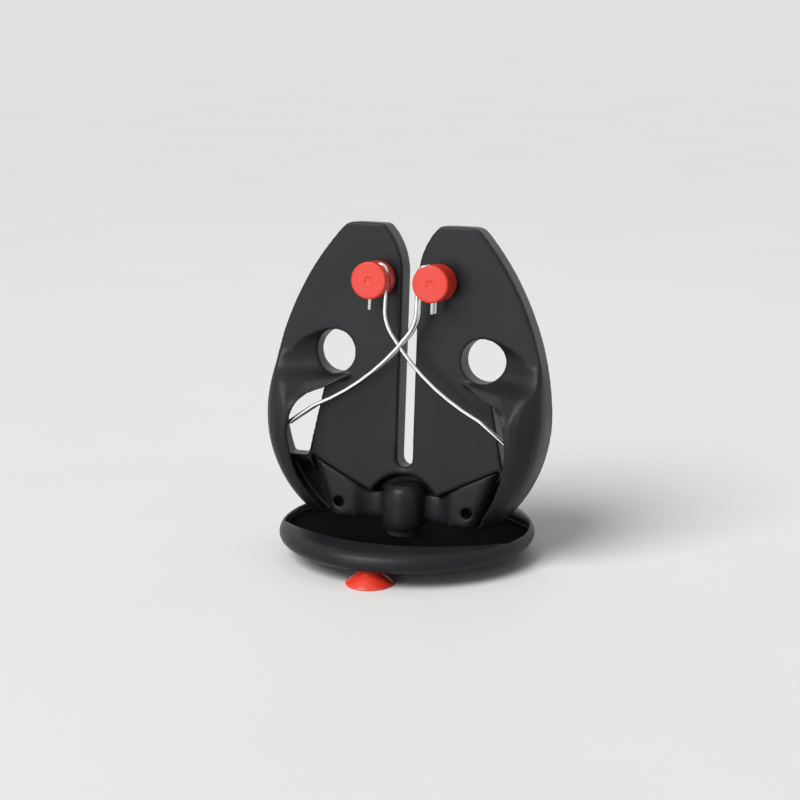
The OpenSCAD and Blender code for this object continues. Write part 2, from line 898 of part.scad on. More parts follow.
module bushing() {
    difference() {
        union() {
            bar(0, 0, bush_flange_r, knob_gap - knob_back, 0);
            bar(0, 0, bush_r, knob_gap - knob_back, pocket_floor);
        }
        bar(0, 0, pin_r + pin_gap, -knob_back, pocket_floor + over_cut);
    }
}

module collar() {
    difference() {
        union() {
            bar(0, 0, hub_r, pin_end - collar_t - hub_len, pin_end - collar_t);
            bar(0, 0, collar_r, pin_end - collar_t, pin_end);
        }
        bar(0, 0, pin_r, pocket_floor, plate_t);
    }
}

module back_cap() {
    bar(0, 0, pocket_r, plate_t - cap_t, plate_t);
}

// Torsion spring as one unbroken tube: a straight leg in the plate's slot, then coils that grip the hub
coil_turns = 2.5;
coil_rings = 40;
coil_fit = 0.03;
coil_r = (hub_r + wire_r + coil_fit) / cos(180 * coil_turns / coil_rings);
coil_pitch = 2 * wire_r + 0.5;
coil_y = pin_end - collar_t - 2 * hub_len;
leg_gap = 0.3;
leg_len = pocket_r + leg_gap;
coil_points = concat([for (t = [0, 0.5]) [-leg_len * (1 - t), coil_y, coil_r]],
    [for (k = [0:coil_rings]) let (a = 90 - 360 * coil_turns * k / coil_rings)
        [coil_r * cos(a), coil_y + coil_pitch * coil_turns * k / coil_rings, coil_r * sin(a)]]);
coil_n = len(coil_points);
function unit(v) = v / norm(v);
function coil_way(i) = unit(coil_points[min(i + 1, coil_n - 1)] - coil_points[max(i - 1, 0)]);
function coil_ring(i) = let (w = coil_way(i), u = unit(cross(w, [0, 1, 0])), v = cross(u, w))
    [for (s = [0:5]) coil_points[i] + wire_r * (cos(60 * s) * u + sin(60 * s) * v)];
coil_gap = min([for (i = [0:coil_n - 1], j = [0:coil_n - 1]) if (j - i > 4)
    norm(coil_points[i] - coil_points[j])]) - 2 * wire_r;
echo(least_gap_of_spring_to_itself = coil_gap);

module spring() {
    points = [for (i = [0:coil_n - 1]) each coil_ring(i)];
    sides = [for (i = [0:coil_n - 2], s = [0:5]) let (m = (s + 1) % 6, b = i * 6)
        each [[b + s, b + 6 + m, b + m], [b + s, b + 6 + s, b + 6 + m]]];
    first = [for (s = [0:5]) s];
    last = [for (s = [5:-1:0]) (coil_n - 1) * 6 + s];
    polyhedron(points = points, faces = concat([first], sides, [last]), convexity = 8);
}

module left_pivot_pin() {
    color(steel)
        on_plate()
            left_at(0)
                pivot_pin();
}

module right_pivot_pin() {
    color(steel)
        on_plate()
            right_at(0)
                pivot_pin();
}

module left_bushing() {
    color(black)
        on_plate()
            left_at(0)
                bushing();
}

module right_bushing() {
    color(black)
        on_plate()
            right_at(0)
                bushing();
}

module left_spring() {
    color(steel)
        on_plate()
            left_at(0)
                mirror([1, 0, 0])
                    spring();
}

module right_spring() {
    color(steel)
        on_plate()
            right_at(0)
                mirror([1, 0, 0])
                    spring();
}

module left_collar() {
    color(steel)
        on_plate()
            left_at(0)
                collar();
}

module right_collar() {
    color(steel)
        on_plate()
            right_at(0)
                collar();
}

module left_back_cap() {
    color(black)
        on_plate()
            left_at(0)
                back_cap();
}

module right_back_cap() {
    color(black)
        on_plate()
            right_at(0)
                back_cap();
}

base_dish();
post();
post_screw();
suction_cup_front();
suction_cup_back_left();
suction_cup_back_right();
body_shell();
lower_cover();
cover_screws();
left_knob();
left_rod();
left_pivot_pin();
left_bushing();
left_spring();
left_collar();
left_back_cap();
right_knob();
right_front_rod();
right_back_rod();
right_pivot_pin();
right_bushing();
right_spring();
right_collar();
right_back_cap();
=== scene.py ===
"""Standing hand knife sharpener: softened mouldings, bent wire rods, finishes and a plain studio."""

import json
import logging
import math
from collections.abc import Sequence
from dataclasses import dataclass
from enum import Enum
from typing import Any

import bmesh
import bpy
from mathutils import Matrix, Vector


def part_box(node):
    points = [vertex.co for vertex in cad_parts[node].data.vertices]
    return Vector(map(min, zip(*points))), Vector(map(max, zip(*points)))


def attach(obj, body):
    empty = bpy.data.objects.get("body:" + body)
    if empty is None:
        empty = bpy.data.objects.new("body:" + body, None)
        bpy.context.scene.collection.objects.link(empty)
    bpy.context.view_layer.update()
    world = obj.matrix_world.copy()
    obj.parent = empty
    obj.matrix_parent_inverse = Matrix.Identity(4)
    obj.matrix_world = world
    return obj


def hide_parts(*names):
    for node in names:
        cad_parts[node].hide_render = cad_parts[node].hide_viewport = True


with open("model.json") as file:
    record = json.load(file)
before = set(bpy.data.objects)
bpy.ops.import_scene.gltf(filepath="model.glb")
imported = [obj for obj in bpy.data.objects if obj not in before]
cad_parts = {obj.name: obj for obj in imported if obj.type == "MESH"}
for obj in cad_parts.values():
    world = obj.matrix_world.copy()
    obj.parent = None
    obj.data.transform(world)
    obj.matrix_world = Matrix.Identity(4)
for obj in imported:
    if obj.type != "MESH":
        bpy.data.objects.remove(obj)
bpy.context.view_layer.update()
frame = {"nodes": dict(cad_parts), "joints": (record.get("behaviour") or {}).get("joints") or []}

MM = 0.001
MERGE_M = 2e-6
LOG = logging.getLogger("sharpener")


class Body(Enum):
    """The bodies that move against each other."""

    STAND = "base"
    PLATE = "body"
    LEFT_ARM = "left_arm"
    RIGHT_ARM = "right_arm"


class Slot(Enum):
    """The record's material slots."""

    BLACK = "black_plastic"
    RED = "red_plastic"
    RUBBER = "red_rubber"
    STEEL = "steel"


def linear(hex_code: str) -> tuple[float, float, float, float]:
    """Turns an sRGB hex colour to the linear values that shaders take.

    Args:
        hex_code: Six hex digits after a hash sign.

    Returns:
        Red, green, blue and an alpha of 1.
    """
    parts = [int(hex_code[i : i + 2], 16) / 255 for i in (1, 3, 5)]
    red, green, blue = (c / 12.92 if c <= 0.04045 else ((c + 0.055) / 1.055) ** 2.4 for c in parts)
    return red, green, blue, 1.0


def add_node(tree: bpy.types.NodeTree, kind: str, **values: Any) -> bpy.types.Node:
    """Adds a node with its settings and links.

    Args:
        tree: The node tree that takes the node.
        kind: The node's type name.
        values: Fields by name, and sockets by name or as in_ and their place.
            An output socket given is linked.

    Returns:
        The new node.
    """
    node = tree.nodes.new(kind)
    for name, value in values.items():
        if hasattr(node, name):
            setattr(node, name, value)
            continue
        key = int(name[3:]) if name.startswith("in_") else name.replace("_", " ")
        if isinstance(value, bpy.types.NodeSocket):
            tree.links.new(value, node.inputs[key])
        else:
            node.inputs[key].default_value = value
    return node


def per_metre(size_mm: float) -> float:
    """Gives the texture scale at which a pattern's grain has a size in millimetres."""
    return 1 / (size_mm * MM)


@dataclass(frozen=True)
class MouldedPlastic:
    """Moulded plastic: a fine grain under a soft sheen, a little paler where edges are rubbed."""

    name: str
    colour: str
    handled: str
    rubbed: str
    ior: float
    roughness: tuple[float, float]
    grain_mm: float
    grain_height_mm: float
    patch_mm: float = 38.0
    gloss: float = 0.5
    rub_from: float = 0.52
    rub_to: float = 0.60
    patch_detail: float = 3.0
    grain_detail: float = 2.0
    sheen_span: tuple[float, float] = (0.35, 0.65)

    def make(self) -> bpy.types.Material:
        """Builds the material.

        Returns:
            A material with colour, roughness and grain from its nodes.
        """
        material = bpy.data.materials.new(self.name)
        material.use_nodes = True
        tree = material.node_tree
        shader = tree.nodes["Principled BSDF"]
        where = add_node(tree, "ShaderNodeTexCoord").outputs["Object"]
        patch = add_node(tree, "ShaderNodeTexNoise", Vector=where, Scale=per_metre(self.patch_mm),
                         Detail=self.patch_detail)
        tone = add_node(tree, "ShaderNodeMix", data_type="RGBA", in_0=patch.outputs["Fac"],
                        in_6=linear(self.colour), in_7=linear(self.handled))
        shape = add_node(tree, "ShaderNodeNewGeometry")
        edge = add_node(tree, "ShaderNodeMapRange", Value=shape.outputs["Pointiness"],
                        From_Min=self.rub_from, From_Max=self.rub_to)
        worn = add_node(tree, "ShaderNodeMix", data_type="RGBA", in_0=edge.outputs["Result"],
                        in_6=tone.outputs[2], in_7=linear(self.rubbed))
        tree.links.new(worn.outputs[2], shader.inputs["Base Color"])
        grain = add_node(tree, "ShaderNodeTexNoise", Vector=where, Scale=per_metre(self.grain_mm),
                         Detail=self.grain_detail)
        sheen = add_node(tree, "ShaderNodeMapRange", Value=patch.outputs["Fac"],
                         From_Min=self.sheen_span[0], From_Max=self.sheen_span[1],
                         To_Min=self.roughness[0], To_Max=self.roughness[1])
        tree.links.new(sheen.outputs["Result"], shader.inputs["Roughness"])
        bump = add_node(tree, "ShaderNodeBump", Height=grain.outputs["Fac"], Strength=1.0,
                        Distance=self.grain_height_mm * MM)
        tree.links.new(bump.outputs["Normal"], shader.inputs["Normal"])
        shader.inputs["IOR"].default_value = self.ior
        shader.inputs["Specular IOR Level"].default_value = self.gloss
        return material


@dataclass(frozen=True)
class DrawnSteel:
    """Steel wire or turned steel: bright, with faint lengthwise draw marks and slightly uneven polish."""

    name: str
    colour: str
    shade: str
    roughness: tuple[float, float]
    mark_mm: float
    mark_height_mm: float
    mark_detail: float = 4.0
    mark_strength: float = 0.6
    polish_span: tuple[float, float] = (0.3, 0.7)

    def make(self) -> bpy.types.Material:
        """Builds the material.

        Returns:
            A metal with polish and marks from its nodes.
        """
        material = bpy.data.materials.new(self.name)
        material.use_nodes = True
        tree = material.node_tree
        shader = tree.nodes["Principled BSDF"]
        shader.inputs["Metallic"].default_value = 1.0
        where = add_node(tree, "ShaderNodeTexCoord").outputs["Object"]
        marks = add_node(tree, "ShaderNodeTexNoise", Vector=where, Scale=per_metre(self.mark_mm),
                         Detail=self.mark_detail)
        tone = add_node(tree, "ShaderNodeMix", data_type="RGBA", in_0=marks.outputs["Fac"],
                        in_6=linear(self.colour), in_7=linear(self.shade))
        tree.links.new(tone.outputs[2], shader.inputs["Base Color"])
        polish = add_node(tree, "ShaderNodeMapRange", Value=marks.outputs["Fac"],
                          From_Min=self.polish_span[0], From_Max=self.polish_span[1],
                          To_Min=self.roughness[0], To_Max=self.roughness[1])
        tree.links.new(polish.outputs["Result"], shader.inputs["Roughness"])
        bump = add_node(tree, "ShaderNodeBump", Height=marks.outputs["Fac"], Strength=self.mark_strength,
                        Distance=self.mark_height_mm * MM)
        tree.links.new(bump.outputs["Normal"], shader.inputs["Normal"])
        return material


@dataclass(frozen=True)
class Finishes:
    """Every finish on the sharpener, made once."""

    # Glass-filled nylon, moulded with a satin grain. The real grain is about 0.2 mm and is drawn coarser.
    body: MouldedPlastic = MouldedPlastic(
        "satin_black_nylon", colour="#191a1d", handled="#1d1e21", rubbed="#303135", ior=1.50,
        roughness=(0.34, 0.44), grain_mm=0.7, grain_height_mm=0.035, gloss=0.19)
    # The same nylon, near-black and dull, as painted shade for the shadowed recess floor. Its pits are drawn
    # coarser.
    etched: MouldedPlastic = MouldedPlastic(
        "etched_black_nylon", colour="#060606", handled="#080808", rubbed="#0b0b0c", ior=1.50,
        roughness=(0.86, 0.94), grain_mm=0.9, grain_height_mm=0.10, gloss=0.03)
    # Acetal knobs, moulded with a fine gloss. The flow marks are drawn coarser than they are.
    knob: MouldedPlastic = MouldedPlastic(
        "gloss_red_acetal", colour="#d03022", handled="#d83a2a", rubbed="#e65848", ior=1.48,
        roughness=(0.30, 0.40), grain_mm=1.1, grain_height_mm=0.012, patch_mm=9.0, gloss=0.4)
    # Soft plasticised PVC cups: slick, with a slightly wavy skin.
    cup: MouldedPlastic = MouldedPlastic(
        "slick_red_pvc", colour="#d8301f", handled="#e23f2b", rubbed="#ea5a48", ior=1.53,
        roughness=(0.20, 0.30), grain_mm=3.0, grain_height_mm=0.03, patch_mm=12.0)
    # Polished stainless wire. Its draw marks are far finer and are drawn coarser.
    wire: DrawnSteel = DrawnSteel(
        "polished_stainless_wire", colour="#d8d9d9", shade="#c2c4c6", roughness=(0.06, 0.12),
        mark_mm=1.2, mark_height_mm=0.005)
    # Turned and plated inner steel pieces.
    plated: DrawnSteel = DrawnSteel(
        "zinc_plated_steel", colour="#b4b6b8", shade="#9fa1a4", roughness=(0.28, 0.40),
        mark_mm=1.5, mark_height_mm=0.010)
    # Blackened steel screws, darkened further as painted shade of their deep wells.
    black_steel: DrawnSteel = DrawnSteel(
        "blackened_steel_and_shade", colour="#0e0e0f", shade="#0a0a0b", roughness=(0.50, 0.62),
        mark_mm=0.8, mark_height_mm=0.012)


@dataclass(frozen=True)
class PlateFrame:
    """The leaning plate's own axes, from between the knobs: X across, Y into the plate, Z up along it."""

    origin: Vector
    back: Vector

    @classmethod
    def from_joint(cls, name: str) -> "PlateFrame":
        """Takes the plate's place and lean from a knob's hinge.

        Args:
            name: The hinge's name in the record.

        Returns:
            The plate's axes.
        """
        joint = next(j for j in frame["joints"] if j["name"] == name)
        place = Vector(joint["pos_m"])
        return cls(Vector((0, place.y, place.z)), Vector(joint["axis"]).normalized())

    def matrix(self) -> Matrix:
        """Gives the transform from the plate's axes to the row frame."""
        turn = Vector((0, 1, 0)).rotation_difference(self.back).to_matrix().to_4x4()
        return Matrix.Translation(self.origin) @ turn


def finish_piece(name: str, mesh: bpy.types.Mesh, body: Body, material: bpy.types.Material,
                 replaced: Sequence[str]) -> bpy.types.Object:
    """Puts a finished mesh in the scene, riding on its body.

    Args:
        name: The piece's name.
        mesh: The mesh, in the row frame.
        body: The body that carries it.
        material: The finish.
        replaced: The CAD nodes that it stands for.

    Returns:
        The new object.
    """
    mesh.materials.clear()
    mesh.materials.append(material)
    piece = bpy.data.objects.new(name, mesh)
    bpy.context.scene.collection.objects.link(piece)
    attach(piece, body.value)
    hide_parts(*replaced)
    LOG.info("%s: %d faces", name, len(mesh.polygons))
    return piece


def mesh_from(shape: bmesh.types.BMesh, name: str, smooth_deg: float = 40.0) -> bpy.types.Mesh:
    """Turns a bmesh into a mesh with outward normals and smooth shading below an angle.

    Args:
        shape: The bmesh, which is freed.
        name: The mesh's name.
        smooth_deg: Edges sharper than this stay sharp.

    Returns:
        The new mesh.
    """
    bmesh.ops.remove_doubles(shape, verts=shape.verts, dist=MERGE_M)
    bmesh.ops.recalc_face_normals(shape, faces=shape.faces)
    for face in shape.faces:
        face.smooth = True
    for edge in shape.edges:
        edge.smooth = len(edge.link_faces) != 2 or edge.calc_face_angle(0.0) < math.radians(smooth_deg)
    mesh = bpy.data.meshes.new(name)
    shape.to_mesh(mesh)
    shape.free()
    return mesh


@dataclass
class SoftMoulding:
    """A moulding that keeps its CAD solid's form and gets the soft edges that come out of a mould."""

    node: str
    body: Body
    slot: Slot
    grid_mm: float
    rounds: int
    upright: Matrix

    def build(self, material: bpy.types.Material) -> bpy.types.Object:
        """Makes the moulding and puts it in place of its CAD node.

        Args:
            material: The finish.

        Returns:
            The new object.
        """
        shape = self.even_grid()
        self.soften(shape)
        bmesh.ops.transform(shape, matrix=self.upright, verts=shape.verts)
        mesh = bpy.data.meshes.new(self.node + "_moulding")
        shape.to_mesh(mesh)
        shape.free()
        return finish_piece(mesh.name, mesh, self.body, material, [self.node])

    def even_grid(self) -> bmesh.types.BMesh:
        """Covers the CAD solid's form with even small faces, so that its edges can be softened alike.

        Returns:
            The covered form in the moulding's upright axes.
        """
        shape = bmesh.new()
        shape.from_mesh(frame["nodes"][self.node].data)
        bmesh.ops.remove_doubles(shape, verts=shape.verts, dist=MERGE_M)
        bmesh.ops.transform(shape, matrix=self.upright.inverted(), verts=shape.verts)
        mesh = bpy.data.meshes.new(self.node + "_blank")
        shape.to_mesh(mesh)
        shape.free()
        blank = bpy.data.objects.new(self.node + "_blank", mesh)
        bpy.context.scene.collection.objects.link(blank)
        grid = blank.modifiers.new("grid", "REMESH")
        grid.mode = "VOXEL"
        grid.voxel_size = self.grid_mm * MM
        grid.use_smooth_shade = True
        covered = bpy.data.meshes.new_from_object(blank.evaluated_get(bpy.context.evaluated_depsgraph_get()))
        bpy.data.objects.remove(blank)
        shape = bmesh.new()
        shape.from_mesh(covered)
        bpy.data.meshes.remove(covered)
        return shape

    def soften(self, shape: bmesh.types.BMesh) -> None:
        """Rounds the edges, each place by its share of the rounds.

        Args:
            shape: The covered form.
        """
        self.smooth(shape, [(vert, self.softness(vert.co / MM)) for vert in shape.verts], self.rounds)

    @staticmethod
    def smooth(shape: bmesh.types.BMesh, shares: list[tuple[bmesh.types.BMVert, float]], rounds: int) -> None:
        """Moves vertices half way to the middle of their neighbours, again and again.

        Args:
            shape: The form that they belong to.
            shares: Each vertex with the share of the rounds that it takes part in, so that a zone fades out.
            rounds: The most rounds that a vertex takes part in.
        """
        for done in range(rounds):
            verts = [vert for vert, share in shares if share * rounds > done]
            bmesh.ops.smooth_vert(shape, verts=verts, factor=0.5,
                                  use_axis_x=True, use_axis_y=True, use_axis_z=True)

    def softness(self, place: Vector) -> float:
        """Gives the share of the softening that a place gets, in upright axes and millimetres."""
        return 1.0


@dataclass
class PlateMoulding(SoftMoulding):
    """The winged plate: well rounded wings and slot, and crisper guards, holes and windows below."""

    slot_mm: float = 13.0
    crisp: float = 0.3
    crisp_below_mm: float = -33.0
    soft_above_mm: float = -20.0
    saddle_mm: tuple[float, float] = (78.0, -61.0)
    saddle_reach_mm: tuple[float, float] = (14.0, 13.0)
    saddle_rise: float = 2.0
    saddle_rounds: int = 40
    facing: float = 0.25

    def soften(self, shape: bmesh.types.BMesh) -> None:
        """Rounds the edges, then lets each scoop run smoothly over the saddle into the top of its guard.

        Args:
            shape: The covered form.
        """
        super().soften(shape)
        shape.normal_update()
        shares = []
        for vert in shape.verts:
            across = (abs(vert.co.x) / MM - self.saddle_mm[0]) / self.saddle_reach_mm[0]
            up = (vert.co.z / MM - self.saddle_mm[1]) / self.saddle_reach_mm[1]
            near = 1.0 - math.hypot(across, up)
            if near > 0.0 and vert.normal.y < self.facing:
                shares.append((vert, min(1.0, self.saddle_rise * near)))
        self.smooth(shape, shares, self.saddle_rounds)

    def softness(self, place: Vector) -> float:
        """Gives full softness to the wings and the slot, and less to the thin forms below.

        Args:
            place: A place in the plate's axes, in millimetres.

        Returns:
            The share of the softening rounds, from crisp to 1.
        """
        if abs(place.x) < self.slot_mm:
            return 1.0
        share = (place.z - self.crisp_below_mm) / (self.soft_above_mm - self.crisp_below_mm)
        return self.crisp + (1.0 - self.crisp) * min(1.0, max(0.0, share))


@dataclass
class CoverMoulding(SoftMoulding):
    """The lower cover, whose front runs in one smooth sweep from pad to valley and over the boss."""

    sweep_mm: float = 37.0
    sweep_fade_mm: float = 5.0
    sweep_rounds: int = 70
    facing: float = 0.3
    level: float = 0.9

    def soften(self, shape: bmesh.types.BMesh) -> None:
        """Rounds the edges, then lets the valleys and the boss flow together on the front.

        Args:
            shape: The covered form.
        """
        super().soften(shape)
        shape.normal_update()
        shares = [(v, (self.sweep_mm - abs(v.co.x) / MM) / self.sweep_fade_mm) for v in shape.verts
                  if v.normal.y < self.facing and abs(v.normal.z) < self.level]
        self.smooth(shape, [(v, share) for v, share in shares if share > 0.0], self.sweep_rounds)


@dataclass
class DishMoulding(SoftMoulding):
    """The stand, with a recess whose floor gets a near-black, dull finish as painted shade."""

    floor_below_mm: float = 16.6
    facing: float = 0.4
    crest_from_mm: tuple[float, float] = (44.0, 14.0)
    crest_fade_mm: tuple[float, float] = (20.0, 8.0)
    crest_rounds: int = 30

    def soften(self, shape: bmesh.types.BMesh) -> None:
        """Rounds the edges, then evens out the thin crest where the recess meets the rim at either side.

        Args:
            shape: The covered form.
        """
        super().soften(shape)
        shares = []
        for vert in shape.verts:
            across = (abs(vert.co.x) / MM - self.crest_from_mm[0]) / self.crest_fade_mm[0]
            up = (vert.co.z / MM - self.crest_from_mm[1]) / self.crest_fade_mm[1]
            if min(across, up) > 0.0:
                shares.append((vert, min(1.0, across, up)))
        self.smooth(shape, shares, self.crest_rounds)

    def paint_recess_shade(self, dish: bpy.types.Object, etched: bpy.types.Material) -> None:
        """Gives the recess floor its own near-black finish, which paints the shade there.

        Args:
            dish: The finished stand.
            etched: The floor's finish.
        """
        dish.data.materials.append(etched)
        for face in dish.data.polygons:
            if face.normal.z > self.facing and face.center.z < self.floor_below_mm * MM:
                face.material_index = 1


@dataclass(frozen=True)
class Leg:
    """One piece of a rod: a straight of a length, or a bend of a radius and a turn to the left in degrees."""

    size_mm: float
    turn_deg: float = 0.0


@dataclass
class BentRod:
    """One wire rod: a tail and a crook that the knob holds, then the long bowed run to its foot."""

    name: str
    node: str
    body: Body
    side: int
    forward_mm: float
    press_deg: float
    knob_x_mm: float = 19.1
    wire_mm: float = 2.4
    tail_mm: tuple[float, float] = (-0.7, -17.8)
    tip_mm: float = 0.35
    sides: int = 24
    step_deg: float = 4.0
    least_steps: int = 4
    tip_steps: int = 3
    legs: tuple[Leg, ...] = (Leg(22.6), Leg(4.8, -180), Leg(20.3), Leg(26.7, 36), Leg(140, 29.8),
                             Leg(15, -11.8), Leg(20))

    def build(self, plate: PlateFrame, material: bpy.types.Material) -> bpy.types.Object:
        """Carries the wire's round section along the legs and puts the rod in its knob.

        Args:
            plate: The plate's axes.
            material: The finish.

        Returns:
            The new object.
        """
        shape = bmesh.new()
        start = bmesh.ops.create_circle(shape, cap_ends=True, segments=self.sides, radius=self.wire_mm / 2)
        point = Vector((*self.tail_mm, 0))
        heading = math.pi / 2
        bmesh.ops.transform(shape, matrix=Matrix.Translation(point) @ Matrix.Rotation(math.pi / 2, 4, "X"),
                            verts=start["verts"])
        first = list(shape.faces)
        ring = list(shape.edges)
        for leg in self.legs:
            ahead = Vector((math.cos(heading), math.sin(heading), 0))
            turn = math.radians(leg.turn_deg)
            if turn:
                left = Vector((-ahead.y, ahead.x, 0))
                centre = point + left * math.copysign(leg.size_mm, turn)
                steps = max(self.least_steps, round(abs(leg.turn_deg) / self.step_deg))
                made = bmesh.ops.spin(shape, geom=ring, cent=centre, axis=(0, 0, 1), angle=turn, steps=steps,
                                      use_duplicate=False)
                ring = [e for e in made["geom_last"] if isinstance(e, bmesh.types.BMEdge)]
                point = centre + Matrix.Rotation(turn, 3, "Z") @ (point - centre)
                heading += turn
            else:
                made = bmesh.ops.extrude_edge_only(shape, edges=ring)["geom"]
                bmesh.ops.translate(shape, vec=ahead * leg.size_mm,
                                    verts=[v for v in made if isinstance(v, bmesh.types.BMVert)])
                ring = [e for e in made if isinstance(e, bmesh.types.BMEdge)
                        and all(v in made for v in e.verts)]
                point = point + ahead * leg.size_mm
        last = bmesh.ops.holes_fill(shape, edges=shape.edges, sides=self.sides)["faces"]
        rims = [e for f in first + last for e in f.edges]
        bmesh.ops.bevel(shape, geom=rims, offset=self.tip_mm, affect="EDGES", segments=self.tip_steps,
                        profile=0.5, material=-1)
        press = Matrix.Rotation(math.radians(-self.press_deg), 4, "Z")
        upright = Matrix.Rotation(math.pi / 2, 4, "X")
        flip = Matrix.Diagonal((-self.side, 1, 1, 1))
        hang = Matrix.Translation((self.side * self.knob_x_mm, -self.forward_mm, 0))
        bmesh.ops.transform(shape, verts=shape.verts,
                            matrix=plate.matrix() @ Matrix.Scale(MM, 4) @ hang @ flip @ upright @ press)
        mesh = mesh_from(shape, self.name)
        return finish_piece(self.name, mesh, self.body, material, [self.node])


@dataclass
class SuctionCup:
    """One soft cup: a neck pressed into the stand, a straight flank and a thin rolled lip."""

    name: str
    node: str
    neck_mm: float = 5.0
    lip_mm: float = 14.0
    lip_height_mm: float = 1.2
    hollow_mm: float = 4.7
    seat_mm: float = 3.2
    lip_flat_mm: float = 1.2
    flank_mm: float = 2.0
    round_mm: float = 0.5
    round_steps: int = 4
    turns: int = 72

    def build(self, material: bpy.types.Material) -> bpy.types.Object:
        """Spins the cup's outline about its axis.

        Args:
            material: The finish.

        Returns:
            The new object.
        """
        low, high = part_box(self.node)
        middle = (low + high) / 2
        height = (high.z - low.z) / MM
        neck_z = height - self.seat_mm
        outline = [(0, self.hollow_mm), (self.lip_mm - self.neck_mm, self.hollow_mm / 2),
                   (self.lip_mm - self.lip_flat_mm, 0), (self.lip_mm, 0), (self.lip_mm, self.lip_height_mm),
                   (self.neck_mm + self.flank_mm, self.hollow_mm + self.flank_mm),
                   (self.neck_mm, neck_z), (self.neck_mm, height), (0, height)]
        shape = bmesh.new()
        corners = [shape.verts.new((x, 0, z)) for x, z in outline]
        for pair in zip(corners, corners[1:]):
            shape.edges.new(pair)
        bmesh.ops.bevel(shape, geom=corners[1:7], offset=self.round_mm, affect="VERTICES",
                        segments=self.round_steps, profile=0.5, material=-1)
        bmesh.ops.spin(shape, geom=shape.verts[:] + shape.edges[:], cent=(0, 0, 0), axis=(0, 0, 1),
                       angle=2 * math.pi, steps=self.turns, use_merge=True)
        place = Matrix.Translation((middle.x, middle.y, low.z)) @ Matrix.Scale(MM, 4)
        bmesh.ops.transform(shape, matrix=place, verts=shape.verts)
        mesh = mesh_from(shape, self.name)
        return finish_piece(self.name, mesh, Body.STAND, material, [self.node])


@dataclass(frozen=True)
class Softbox:
    """A soft lamp: its place and face in metres, and its share of the plain level at the object."""

    name: str
    place_m: tuple[float, float, float]
    size_m: tuple[float, float]
    level: float


